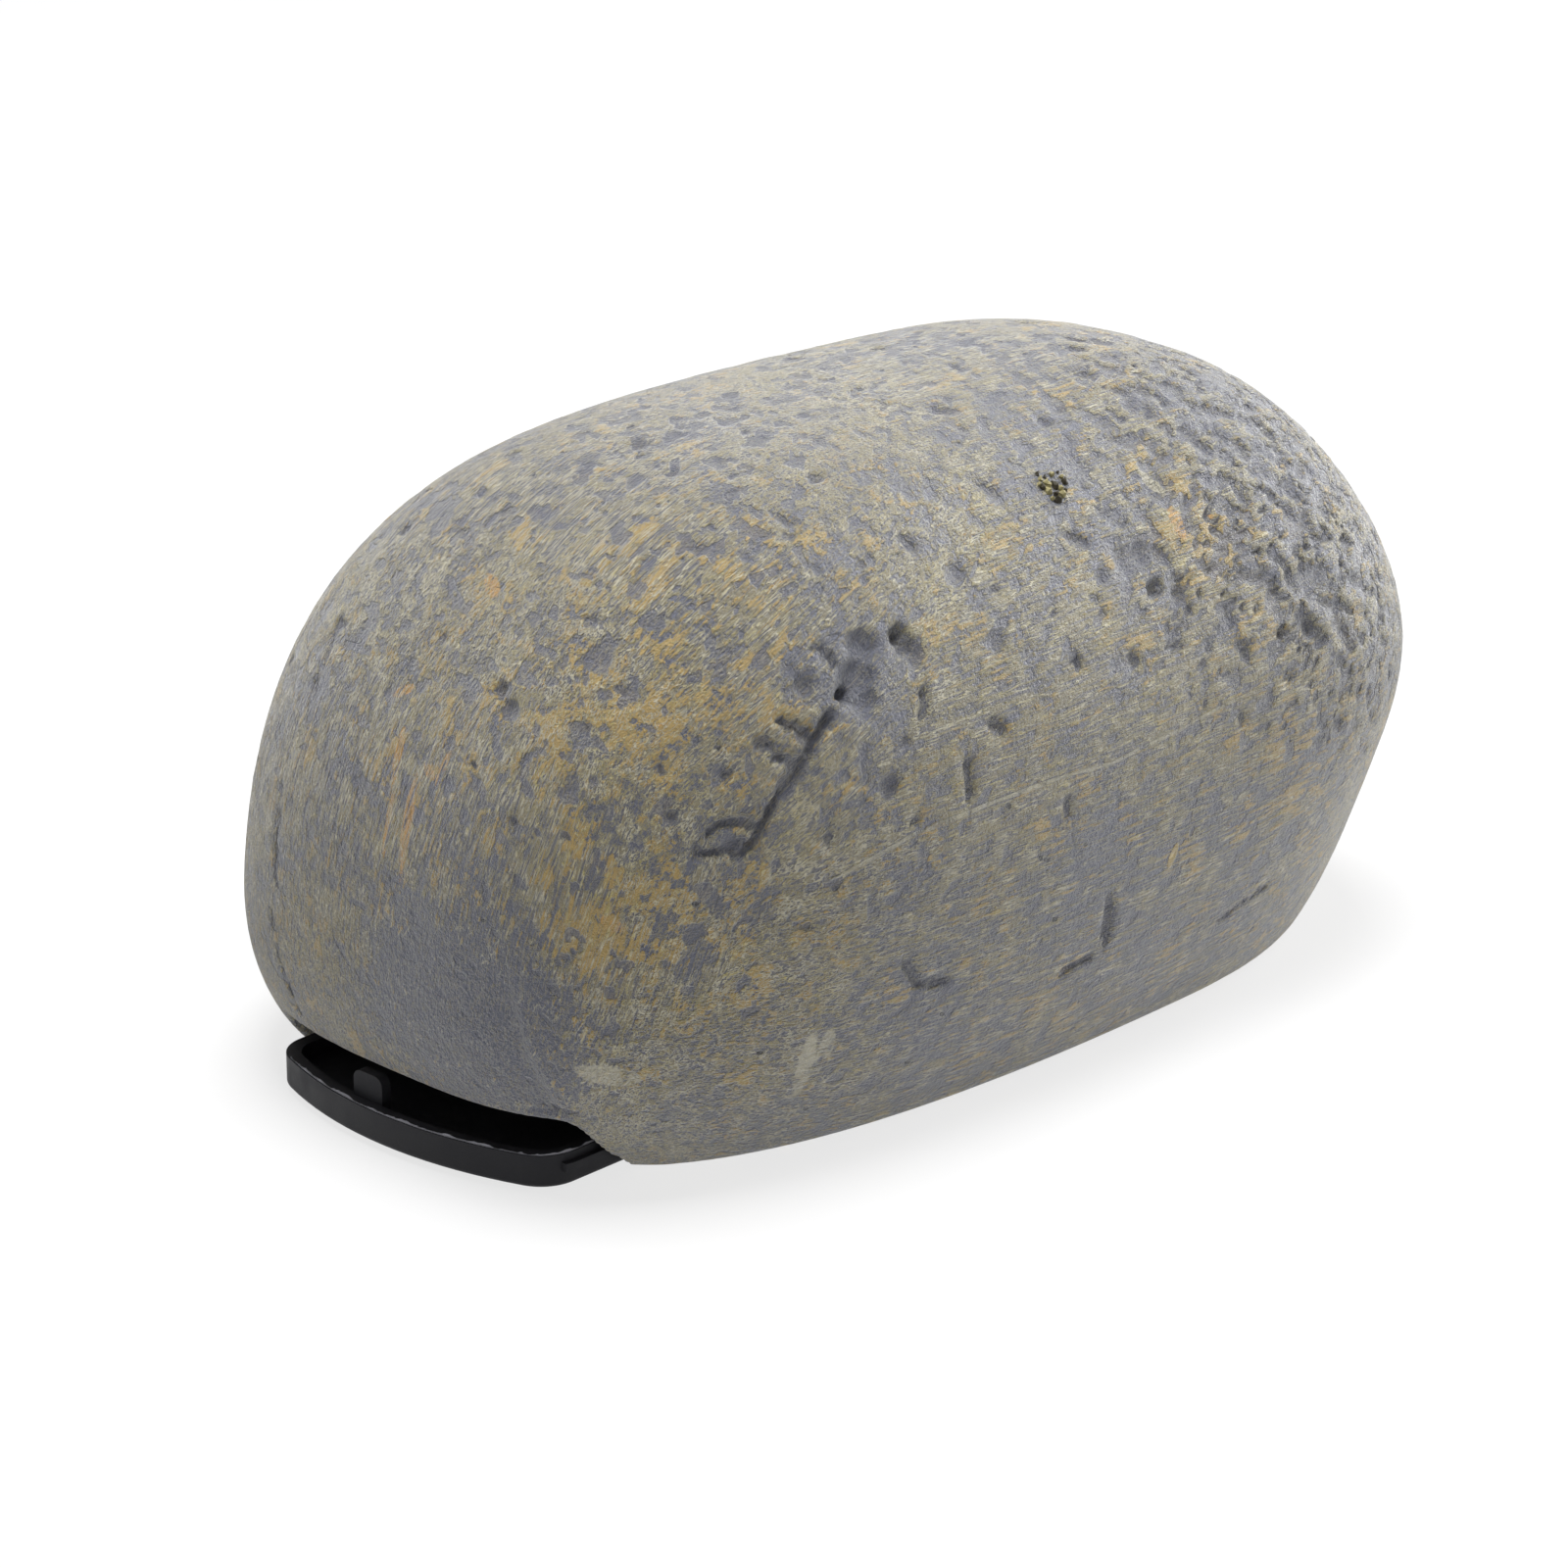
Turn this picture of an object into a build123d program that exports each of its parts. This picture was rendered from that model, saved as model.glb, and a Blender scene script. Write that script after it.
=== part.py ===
"""Hide-a-key rock: a cast resin pebble with a shallow key tray that slides out of its left end.

Three pieces: the painted resin casting (rock_shell), the black plastic box glued up into the
pocket in its flat base (key_box), and the black plastic tray that slides in the box's side
channels (slide_tray).

Frame: millimetres, +Z up, X along the rock, origin at the middle of the flat base. The tray
slides out towards -X. It is drawn in the state of rest, pulled out a little.
"""

import os
from math import acos, atan2, cos, degrees, exp, pi, radians, sin, sqrt, tanh

from build123d import *

# --- overall size of the rock ---
length = 100.0
width = 66.0
height = 52.0

# --- shape of the rock ---
waist_height = 17.6  # height of the widest section above the base
left_reach = 64.0  # from the middle of the waist, before the skin is fitted to the overall size
right_reach = 36.1
front_reach = 28.7
back_reach = 36.5
upper_reach = 33.1
lower_reach = 28.9  # how deep the lower half would reach if the base didn't cut it
left_squareness = 3.2  # 2 is an ellipse, more is squarer
right_squareness = 2.56
upper_squareness = 2.04
lower_squareness = 2.6
end_blend = 2.5  # how quickly the plan turns from its left to its right squareness
lean_right = 0.006  # sideways shift of each level, per millimetre of height
lean_back = -0.107
plan_taper = 0.006  # extra width at the right end, as a share
ridge_slope = -0.015  # extra height at the right end, as a share
saddle = 0.4  # extra height at both ends, as a share: it makes the top flat and the ends blunt
base_edge_radius = 2.0

# Broad swells (+) and hollows (-) of the pebble, in millimetres out of the skin. Each has its
# place: degrees round the plan from +X towards +Y, and degrees above the waist.
right_cheek = 2.4
right_brow = -1.2
left_back = -0.8
right_foot = -1.4
crown_fill = 1.6
left_shoulder = -0.3
right_shoulder = -0.7
swells = [
    (-47, 19, right_cheek),
    (-44, 34, right_brow),
    (148, 4, left_back),
    (-54, -20, right_foot),
    (112, 69, crown_fill),
    (143, 50, left_shoulder),
    (60, 62, right_shoulder),
]
swell_spread = 20.0  # degrees
swell_dome = 60.0  # with length and width, the egg on which those directions are taken

skin_overshoot = 3.0  # the skin runs this far below the base before it is cut flat
ring_count = 12  # curves that the skin is lofted through
ring_points = 30
survey_steps = 90  # directions looked at to find the skin's extent
halvings = 18

# --- the tray ---
slide_centre = -1.6  # Y of the tray's centreline
tray_width = 30.6
tray_wall = 1.2
tray_floor = 1.2
tray_wall_height = 2.65
tray_lift = 0.4  # underside of the tray above the base
tray_set_back = 6.1  # from the rock's left end to the front's crown when the tray is shut
tray_rear_room = 23.9  # from the rear of the shut tray to the rock's right end
drawn_out = 5.5  # how far it stands open at rest
front_arc_radius = 37.0
front_corner_radius = 3.5
rear_corner_radius = 2.0
tray_edge_radius = 0.4

# --- guide ribs along the tray's side walls ---
rib_reach = 0.5
rib_height = 0.7
rib_below_rim = 0.65
rib_set_back = 4.5  # from the front's crown

# --- pull tab behind the tray's front, and the lugs that stop the tray ---
tab_width = 3.2
tab_thickness = 0.9
tab_offset = 2.7  # from the tray's centreline
lip_clearance = 0.5  # tab's top below the rock's lip
tab_round = 0.8
lug_length = 4.0
lug_from_rear = 8.0
lug_height = 7.0  # top above the base
lug_slope = 1.5

# --- the key box ---
box_wall = 1.2
box_set_back = 14.0  # from the rock's left end to the front of the box
box_inner_height = 12.0  # ceiling above the base
box_corner_radius = 2.0
box_top_radius = 0.8
box_lift = 0.4  # rim of the box above the rock's base
mouth_height = 5.0  # lower edge of its front wall above the base
ledge_height = 1.2

# --- fits ---
slide_clearance = 0.25
end_clearance = 0.35
glue_gap = 0.15

# --- the notch in the rock's end ---
lip_height = 5.8
notch_corner_radius = 1.2
notch_edge_radius = 0.5

# --- worked out from the above ---
box_front = box_set_back - length / 2
tray_length = length - tray_set_back - tray_rear_room
tray_front = tray_set_back - length / 2 - drawn_out
tray_rear = tray_front + tray_length
tray_floor_top = tray_lift + tray_floor
tray_rim = tray_lift + tray_wall_height
rib_top = tray_rim - rib_below_rim
rib_bottom = rib_top - rib_height
channel_bottom = rib_bottom - slide_clearance
channel_top = rib_top + slide_clearance
ledge_top = channel_top + ledge_height
rail_half = tray_width / 2 + slide_clearance
channel_half = tray_width / 2 + rib_reach + slide_clearance
box_half = channel_half + box_wall
box_rear_inside = tray_rear + drawn_out + end_clearance
box_rear = box_rear_inside + box_wall
box_top = box_inner_height + box_wall
lug_front = tray_rear - lug_from_rear - lug_length
travel_out = lug_front - (box_front + box_wall) - end_clearance


def superellipse_radius(angle, squareness):
    """Radius of a unit superellipse in the given direction."""
    return (abs(cos(angle)) ** squareness + abs(sin(angle)) ** squareness) ** (-1 / squareness)


def pebble_form(turn, rise):
    """Point of the pebble, from the middle of its waist, before the swells.

    turn goes round the plan from +X towards +Y, rise goes from the waist (0) up to the crown."""
    blend = 0.5 + 0.5 * tanh(end_blend * cos(turn))
    plan_squareness = left_squareness * (1 - blend) + right_squareness * blend
    plan_squareness = 2 + (plan_squareness - 2) * sqrt(max(0, cos(rise)))
    side_squareness = upper_squareness if rise >= 0 else lower_squareness
    reach = superellipse_radius(turn, plan_squareness)
    side_reach = superellipse_radius(rise, side_squareness)
    x = reach * side_reach * cos(turn) * cos(rise)
    y = reach * side_reach * sin(turn) * cos(rise)
    z = side_reach * sin(rise)
    x *= left_reach if x < 0 else right_reach
    y *= front_reach if y < 0 else back_reach
    along = x / (length / 2)
    y *= 1 + plan_taper * along
    if z > 0:
        z *= upper_reach * (1 + ridge_slope * along + saddle * along**2)
    else:
        z *= lower_reach
    return x + lean_right * z, y + lean_back * z, z


def swell_push(x, y, z):
    """How far the swells move the skin outwards at a point."""
    across, back, up = x / length, y / width, z / swell_dome
    span = sqrt(across * across + back * back + up * up)
    push = 0
    for turn, rise, reach in swells:
        turn, rise = radians(turn), radians(rise)
        facing = across * cos(rise) * cos(turn) + back * cos(rise) * sin(turn) + up * sin(rise)
        apart = degrees(acos(min(1, facing / span))) / swell_spread
        push += reach * exp(-0.5 * apart**2)
    return push


def pebble_point(turn, rise):
    """Point of the finished skin, its height measured from the base."""
    x, y, z = pebble_form(turn, rise)
    swollen = 1 + swell_push(x, y, z) / sqrt(x * x + y * y + z * z)
    return Vector(x * swollen, y * swollen, z * swollen + waist_height)


def drop_to_level(turn, level):
    """Angle down from the crown at which the skin reaches the given level, found by halving."""
    above, below = pi / 2, pi
    for _ in range(halvings):
        middle = (above + below) / 2
        if pebble_point(turn, pi / 2 - middle).Z > level:
            above = middle
        else:
            below = middle
    return (above + below) / 2


def survey():
    """Lowest and highest X, Y and Z of the pebble above its base."""
    seen = []
    for step in range(survey_steps):
        turn = 2 * pi * step / survey_steps
        for level in range(survey_steps + 1):
            point = pebble_point(turn, pi / 2 - pi * level / survey_steps)
            if point.Z >= 0:
                seen.append(point)
    low = Vector(min(p.X for p in seen), min(p.Y for p in seen), 0)
    high = Vector(max(p.X for p in seen), max(p.Y for p in seen), max(p.Z for p in seen))
    return low, high


def fitted(point, low, high):
    """The point moved so that the whole pebble has exactly its length, width and height."""
    x = ((point.X - low.X) / (high.X - low.X) - 0.5) * length
    y = ((point.Y - low.Y) / (high.Y - low.Y) - 0.5) * width
    return Vector(x, y, point.Z / high.Z * height)


def skin_ring(share, low, high):
    """Closed curve round the pebble, at a share of the way down from the crown to below the base."""
    points = []
    for step in range(ring_points):
        turn = 2 * pi * step / ring_points
        drop = share * drop_to_level(turn, -skin_overshoot)
        points.append(fitted(pebble_point(turn, pi / 2 - drop), low, high))
    if share == 1:
        points = [Vector(point.X, point.Y, -skin_overshoot) for point in points]
    return Wire(Edge.make_spline(points, periodic=True))


def pebble():
    """The whole pebble: rings lofted up to the crown, cut flat and rounded at the base."""
    low, high = survey()
    rings = [skin_ring(1 - step / ring_count, low, high) for step in range(ring_count)]
    crown = Vertex(*fitted(pebble_point(0, pi / 2), low, high))
    stone = Solid.make_loft(rings + [crown])
    stone = stone - block((-length, -width, -height), (length, width, 0))
    base_edges = stone.faces().sort_by(Axis.Z)[0].outer_wire().edges()
    return fillet(base_edges, base_edge_radius)


def block(low, high):
    """A box between two corners."""
    size = Vector(*high) - Vector(*low)
    return Pos(*low) * Box(size.X, size.Y, size.Z, align=(Align.MIN, Align.MIN, Align.MIN))


def rock_shell():
    """The casting: the pebble less the pocket for the key box and the notch for the tray."""
    pocket_half = box_half + glue_gap
    pocket = block(
        (box_front - glue_gap, slide_centre - pocket_half, -1),
        (box_rear + glue_gap, slide_centre + pocket_half, box_top),
    )
    notch = block(
        (-length, slide_centre - channel_half, -1),
        (box_front, slide_centre + channel_half, lip_height),
    )
    roof_corners = notch.faces().sort_by(Axis.Z)[-1].edges().filter_by(Axis.X)
    shell = pebble() - pocket - fillet(roof_corners, notch_corner_radius)
    mouth = [
        edge
        for edge in shell.edges()
        if edge.center().X < box_front - glue_gap
        and edge.center().Z > tray_lift
        and edge.geom_type != GeomType.LINE
    ]
    return fillet(mouth, notch_edge_radius)


def key_box():
    """The box: a channelled section drawn along X, closed at the rear and above the mouth."""
    half_section = [
        (0, box_top),
        (box_half, box_top),
        (box_half, box_lift),
        (rail_half, box_lift),
        (rail_half, channel_bottom),
        (channel_half, channel_bottom),
        (channel_half, channel_top),
        (rail_half, channel_top),
        (rail_half, ledge_top),
        (channel_half, ledge_top),
        (channel_half, box_inner_height),
        (0, box_inner_height),
    ]
    half = make_face(Polyline(*half_section, close=True))
    section = Plane.YZ.offset(box_front) * (half + mirror(half, Plane.YZ))
    body = Pos(0, slide_centre, 0) * extrude(section, box_rear - box_front)
    rear_wall = block(
        (box_rear_inside, slide_centre - box_half, box_lift),
        (box_rear, slide_centre + box_half, box_top),
    )
    front_wall = block(
        (box_front, slide_centre - box_half, mouth_height),
        (box_front + box_wall, slide_centre + box_half, box_top),
    )
    body = body + rear_wall + front_wall
    rear_edges = body.faces().sort_by(Axis.X)[-1].edges().filter_by(Axis.Z)
    body = fillet(rear_edges, box_corner_radius)
    top_edges = body.faces().sort_by(Axis.Z)[-1].edges()
    return fillet(top_edges, box_top_radius)


def tray_outline():
    """Plan of the tray: straight sides, a bowed front and rounded corners."""
    half = tray_width / 2
    side_front = tray_front + front_arc_radius - sqrt(front_arc_radius**2 - half**2)
    outline = make_face(
        [
            ThreePointArc((side_front, -half), (tray_front, 0), (side_front, half)),
            Line((side_front, half), (tray_rear, half)),
            Line((tray_rear, half), (tray_rear, -half)),
            Line((tray_rear, -half), (side_front, -half)),
        ]
    )
    outline = fillet(outline.vertices().sort_by(Axis.X)[:2], front_corner_radius)
    return fillet(outline.vertices().sort_by(Axis.X)[-2:], rear_corner_radius)


def guide_ribs(outline):
    """The rib that runs back from each front corner along the side wall."""
    ring = offset(outline, rib_reach) - outline
    ribs = Pos(0, 0, rib_bottom) * extrude(ring, rib_height)
    kept = block(
        (tray_front + rib_set_back, -tray_width, 0),
        (tray_rear - rear_corner_radius, tray_width, tray_rim),
    )
    return ribs & kept


def stop_lugs():
    """Two upright lugs on the side walls, sloped at the rear so that they snap in past the mouth."""
    side = Polyline(
        (lug_front, tray_lift),
        (lug_front, lug_height),
        (lug_front + lug_length - lug_slope, lug_height),
        (lug_front + lug_length, lug_height - lug_slope),
        (lug_front + lug_length, tray_lift),
        close=True,
    )
    profile = Plane.XZ * make_face(side)
    half = tray_width / 2
    near = Pos(0, tray_wall - half, 0) * extrude(profile, tray_wall)
    return near + mirror(near, Plane.XZ)


def pull_tab():
    """The small upright tab that a fingernail catches."""
    tab_top = lip_height - lip_clearance
    start = tray_front + tray_wall
    tab = block(
        (start, tab_offset - tab_width / 2, tray_lift),
        (start + tab_thickness, tab_offset + tab_width / 2, tab_top),
    )
    top_corners = tab.faces().sort_by(Axis.Z)[-1].edges().filter_by(Axis.X)
    return fillet(top_corners, tab_round)


def slide_tray():
    """The tray, with its ribs, lugs and pull tab."""
    outline = tray_outline()
    body = Pos(0, 0, tray_lift) * extrude(outline, tray_wall_height)
    underside_edges = body.faces().sort_by(Axis.Z)[0].edges()
    body = fillet(underside_edges, tray_edge_radius)
    hollow = Pos(0, 0, tray_floor_top) * extrude(offset(outline, -tray_wall), tray_wall_height)
    body = body - hollow + guide_ribs(outline) + stop_lugs() + pull_tab()
    return Pos(0, slide_centre, 0) * body


pieces = {"rock_shell": rock_shell, "key_box": key_box, "slide_tray": slide_tray}

os.makedirs("parts", exist_ok=True)
for name, build in pieces.items():
    piece = build()
    export_step(piece, f"parts/{name}.step")
    print(name, round(piece.volume), "cubic mm")
print("tray travel: in", drawn_out, "mm, out", round(travel_out, 2), "mm")
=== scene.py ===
"""Looks of the hide-a-key rock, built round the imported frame.

The casting is remade as a fine mesh of the same pebble, with its pits, furrow and brushed paint.
The black box and the tray keep their shapes from the frame and get their plastics here.

Lengths in this script are millimetres up to the point where a mesh is finished in metres.
A pixel is a place in the 1600 x 1600 photograph, written (across, down).
"""

from math import asin, cos, pi, radians, sin, sqrt

import bmesh
import bpy
import numpy as np
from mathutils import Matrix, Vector, noise
from mathutils.bvhtree import BVHTree
from mathutils.kdtree import KDTree


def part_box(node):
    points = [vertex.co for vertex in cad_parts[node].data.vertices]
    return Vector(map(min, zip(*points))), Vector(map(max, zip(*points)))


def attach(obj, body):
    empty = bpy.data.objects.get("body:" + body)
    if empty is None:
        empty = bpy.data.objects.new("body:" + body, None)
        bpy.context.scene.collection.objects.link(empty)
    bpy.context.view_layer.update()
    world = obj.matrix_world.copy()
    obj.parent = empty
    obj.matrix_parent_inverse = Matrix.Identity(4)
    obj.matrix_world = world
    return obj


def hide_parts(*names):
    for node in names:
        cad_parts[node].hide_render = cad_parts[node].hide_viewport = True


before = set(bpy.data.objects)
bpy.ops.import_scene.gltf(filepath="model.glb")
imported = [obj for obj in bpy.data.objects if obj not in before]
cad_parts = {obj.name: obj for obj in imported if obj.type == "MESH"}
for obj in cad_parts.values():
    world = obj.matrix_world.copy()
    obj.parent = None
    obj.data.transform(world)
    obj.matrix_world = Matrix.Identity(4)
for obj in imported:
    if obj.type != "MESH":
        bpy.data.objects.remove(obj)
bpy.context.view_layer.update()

MM = 0.001

# --- the photograph's camera ---
PHOTO_SIZE = 1600
FOCAL_PIXELS = 6255
CAMERA_TURN = radians(46.21)
CAMERA_DROP = radians(21.16)
CAMERA_DISTANCE = 498.8
CAMERA_AIM = Vector((-0.08, 3.11, 15.04))
SENSOR_WIDTH = 36.0

# --- shape of the pebble, as in the part's source ---
LENGTH = 100.0
WIDTH = 66.0
HEIGHT = 52.0
WAIST_HEIGHT = 17.6
LEFT_REACH = 64.0
RIGHT_REACH = 36.1
FRONT_REACH = 28.7
BACK_REACH = 36.5
UPPER_REACH = 33.1
LOWER_REACH = 28.9
LEFT_SQUARENESS = 3.2
RIGHT_SQUARENESS = 2.56
UPPER_SQUARENESS = 2.04
LOWER_SQUARENESS = 2.6
END_BLEND = 2.5
LEAN_RIGHT = 0.006
LEAN_BACK = -0.107
PLAN_TAPER = 0.006
RIDGE_SLOPE = -0.015
SADDLE = 0.4
BASE_EDGE_RADIUS = 2.0
SWELLS = [
    (-47, 19, 2.4),
    (-44, 34, -1.2),
    (148, 4, -0.8),
    (-54, -20, -1.4),
    (112, 69, 1.6),
    (143, 50, -0.3),
    (60, 62, -0.7),
]
SWELL_SPREAD = 20.0
SWELL_DOME = 60.0
SURVEY_STEPS = 90
HALVINGS = 18

# --- the notch and the pocket, as in the part's source ---
SLIDE_CENTRE = -1.6
NOTCH_HALF = 16.05
LIP_HEIGHT = 5.8
NOTCH_CORNER_RADIUS = 1.2
BOX_FRONT = -36.0
POCKET_FRONT = -36.15
POCKET_REAR = 27.8
POCKET_HALF = 17.4
POCKET_TOP = 13.2

# --- fineness of the casting's mesh ---
COLUMNS = 480
WALL_ROWS = 200
EDGE_ROWS = 6
CORNER_STEPS = 6
VOXEL = 0.51
SLOPE_PROBE = 0.5  # level at which the wall's slope above the base is taken
CUTTER_FOOT = -1  # the cutters start this far below the base
MOUTH_REACH = 1.1  # how far from the notch its edges are softened
MOUTH_SMOOTHINGS = 3
POCKET_SLACK = 0.05  # what lies this close to the pocket counts as its wall

# The seed also fixes the noise vectors, which otherwise differ from run to run.
SEED = 41
noise.seed_set(SEED)


# ---------------------------------------------------------------- pebble


def superellipse_radius(angle, squareness):
    """Radius of a unit superellipse in the given directions."""
    bulk = np.abs(np.cos(angle)) ** squareness + np.abs(np.sin(angle)) ** squareness
    return bulk ** (-1 / squareness)


def swell_push(x, y, z):
    """How far the swells move the skin outwards."""
    across, back, up = x / LENGTH, y / WIDTH, z / SWELL_DOME
    span = np.sqrt(across**2 + back**2 + up**2)
    push = 0
    for turn, rise, reach in SWELLS:
        turn, rise = radians(turn), radians(rise)
        facing = across * cos(rise) * cos(turn) + back * cos(rise) * sin(turn) + up * sin(rise)
        apart = np.degrees(np.arccos(np.clip(facing / span, -1, 1))) / SWELL_SPREAD
        push = push + reach * np.exp(-0.5 * apart**2)
    return push


def raw_skin(turn, rise):
    """Points of the pebble's skin before it is fitted to the overall size."""
    turn, rise = np.broadcast_arrays(turn, rise)
    blend = 0.5 + 0.5 * np.tanh(END_BLEND * np.cos(turn))
    plan_squareness = LEFT_SQUARENESS * (1 - blend) + RIGHT_SQUARENESS * blend
    plan_squareness = 2 + (plan_squareness - 2) * np.sqrt(np.maximum(0, np.cos(rise)))
    side_squareness = np.where(rise >= 0, UPPER_SQUARENESS, LOWER_SQUARENESS)
    reach = superellipse_radius(turn, plan_squareness)
    side_reach = superellipse_radius(rise, side_squareness)
    x = reach * side_reach * np.cos(turn) * np.cos(rise)
    y = reach * side_reach * np.sin(turn) * np.cos(rise)
    z = side_reach * np.sin(rise)
    x = x * np.where(x < 0, LEFT_REACH, RIGHT_REACH)
    y = y * np.where(y < 0, FRONT_REACH, BACK_REACH)
    along = x / (LENGTH / 2)
    y = y * (1 + PLAN_TAPER * along)
    dome = UPPER_REACH * (1 + RIDGE_SLOPE * along + SADDLE * along**2)
    z = z * np.where(z > 0, dome, LOWER_REACH)
    x, y = x + LEAN_RIGHT * z, y + LEAN_BACK * z
    swollen = 1 + swell_push(x, y, z) / np.sqrt(x**2 + y**2 + z**2)
    return np.stack([x * swollen, y * swollen, z * swollen + WAIST_HEIGHT], axis=-1)


def survey():
    """Lowest and highest corners of the raw skin above the base."""
    turn = 2 * pi * np.arange(SURVEY_STEPS)[:, None] / SURVEY_STEPS
    rise = pi / 2 - pi * np.arange(SURVEY_STEPS + 1)[None, :] / SURVEY_STEPS
    points = raw_skin(turn, rise).reshape(-1, 3)
    seen = points[points[:, 2] >= 0]
    low, high = seen.min(axis=0), seen.max(axis=0)
    low[2] = 0
    return low, high


SKIN_LOW, SKIN_HIGH = survey()


def skin(turn, drop):
    """Points of the skin, by direction round the plan and angle down from the crown."""
    points = raw_skin(turn, pi / 2 - drop)
    share = (points - SKIN_LOW) / (SKIN_HIGH - SKIN_LOW)
    return (share - (0.5, 0.5, 0)) * (LENGTH, WIDTH, HEIGHT)


def drop_to_level(turn, level):
    """Angle down from the crown at which the skin reaches a level, found by halving."""
    above = np.full_like(turn, pi / 2)
    below = np.full_like(turn, pi)
    for _ in range(HALVINGS):
        middle = (above + below) / 2
        higher = skin(turn, middle)[:, 2] > level
        above = np.where(higher, middle, above)
        below = np.where(higher, below, middle)
    return (above + below) / 2


def unit(vectors):
    """The vectors, each scaled to length 1."""
    return vectors / np.linalg.norm(vectors, axis=-1, keepdims=True)


def pebble_rows():
    """Rows of points from the crown down to the flat base, with the rounded base edge."""
    turn = 2 * pi * np.arange(COLUMNS) / COLUMNS
    corner = skin(turn, drop_to_level(turn, 0.0))
    wall = unit(skin(turn, drop_to_level(turn, SLOPE_PROBE)) - corner)
    tangent = np.roll(corner, -1, axis=0) - np.roll(corner, 1, axis=0)
    floor = unit(np.stack([-tangent[:, 1], tangent[:, 0], 0 * turn], axis=-1))
    half_angle = np.arccos(np.sum(wall * floor, axis=-1)) / 2
    run = (BASE_EDGE_RADIUS / np.tan(half_angle))[:, None]
    start, end = corner + run * wall, corner + run * floor
    lowest = drop_to_level(turn, start[:, 2])
    rows = [skin(turn, lowest * row / WALL_ROWS) for row in range(1, WALL_ROWS + 1)]
    weight = np.sin(half_angle)[:, None]
    for step in range(1, EDGE_ROWS + 1):
        t = step / EDGE_ROWS
        a, b, c = (1 - t) ** 2, 2 * weight * t * (1 - t), t**2
        rows.append((a * start + b * corner + c * end) / (a + b + c))
    return rows


def new_object(name, points, faces):
    """A mesh object from points and faces."""
    mesh = bpy.data.meshes.new(name)
    mesh.from_pydata([tuple(point) for point in points], [], faces)
    mesh.validate()
    mesh.update()
    made = bpy.data.objects.new(name, mesh)
    bpy.context.scene.collection.objects.link(made)
    return made


def closed_pebble():
    """The whole pebble as a closed object, before anything is cut from it."""
    rows = pebble_rows()
    points = np.concatenate([skin(np.zeros(1), np.zeros(1)), *rows, [[0, 0, 0]]])
    last = len(points) - 1
    faces = []
    for column in range(COLUMNS):
        beside = (column + 1) % COLUMNS
        faces.append((0, 1 + column, 1 + beside))
        for row in range(len(rows) - 1):
            upper, lower = 1 + row * COLUMNS, 1 + (row + 1) * COLUMNS
            faces.append((upper + column, lower + column, lower + beside, upper + beside))
        faces.append((lower + column, last, lower + beside))
    return new_object("painted_rock", points, faces)


def prism(outline, start, end):
    """A closed cutter: an outline of (y, z) points drawn along X from start to end."""
    count = len(outline)
    points = [(x, y, z) for x in (start, end) for y, z in outline]
    sides = [(i, (i + 1) % count, count + (i + 1) % count, count + i) for i in range(count)]
    caps = [tuple(range(count))[::-1], tuple(range(count, 2 * count))]
    cutter = new_object("cutter", points, sides + caps)
    shape = bmesh.new()
    shape.from_mesh(cutter.data)
    bmesh.ops.recalc_face_normals(shape, faces=shape.faces)
    shape.to_mesh(cutter.data)
    shape.free()
    return cutter


def notch_outline():
    """Section of the notch, with its rounded roof corners."""
    outline = [(SLIDE_CENTRE - NOTCH_HALF, CUTTER_FOOT), (SLIDE_CENTRE + NOTCH_HALF, CUTTER_FOOT)]
    for side, start in ((1, 0), (-1, pi / 2)):
        middle = SLIDE_CENTRE + side * (NOTCH_HALF - NOTCH_CORNER_RADIUS)
        for step in range(CORNER_STEPS + 1):
            angle = start + pi / 2 * step / CORNER_STEPS
            y = middle + NOTCH_CORNER_RADIUS * cos(angle)
            outline.append((y, LIP_HEIGHT - NOTCH_CORNER_RADIUS + NOTCH_CORNER_RADIUS * sin(angle)))
    return outline


def apply_modifiers(made):
    """Puts what the object's modifiers do into its mesh."""
    seen = made.evaluated_get(bpy.context.evaluated_depsgraph_get())
    mesh = bpy.data.meshes.new_from_object(seen)
    made.modifiers.clear()
    made.data = mesh


def cut(made, cutter):
    """Cuts the cutter out of the object and removes it."""
    modifier = made.modifiers.new("cut", "BOOLEAN")
    modifier.operation = "DIFFERENCE"
    modifier.solver = "EXACT"
    modifier.object = cutter
    apply_modifiers(made)
    bpy.data.objects.remove(cutter)


def vertex_array(mesh, field="co"):
    """The vertices' positions or normals as an array."""
    values = np.zeros(len(mesh.vertices) * 3)
    mesh.vertices.foreach_get(field, values)
    return values.reshape(-1, 3)


def set_positions(mesh, points):
    """Moves the mesh's vertices to the points."""
    mesh.vertices.foreach_set("co", points.ravel())
    mesh.update()


def notch_distance(points):
    """Distance of each point from the space of the notch."""
    beyond = points[:, 0] - BOX_FRONT
    beside = np.abs(points[:, 1] - SLIDE_CENTRE) - NOTCH_HALF
    over = points[:, 2] - LIP_HEIGHT
    return np.sqrt(sum(np.maximum(0, gap) ** 2 for gap in (beyond, beside, over)))


def soften_mouth(mesh):
    """Rounds the cut edges of the notch by moving each vertex towards its neighbours."""
    points = vertex_array(mesh)
    near = notch_distance(points) < MOUTH_REACH
    edges = np.zeros(len(mesh.edges) * 2, dtype=np.int64)
    mesh.edges.foreach_get("vertices", edges)
    edges = edges.reshape(-1, 2)
    for _ in range(MOUTH_SMOOTHINGS):
        total = np.zeros_like(points)
        count = np.zeros(len(points))
        for one, other in ((0, 1), (1, 0)):
            np.add.at(total, edges[:, one], points[edges[:, other]])
            np.add.at(count, edges[:, one], 1)
        middle = total / count[:, None]
        points = np.where(near[:, None], (points + middle) / 2, points)
    set_positions(mesh, points)


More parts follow.
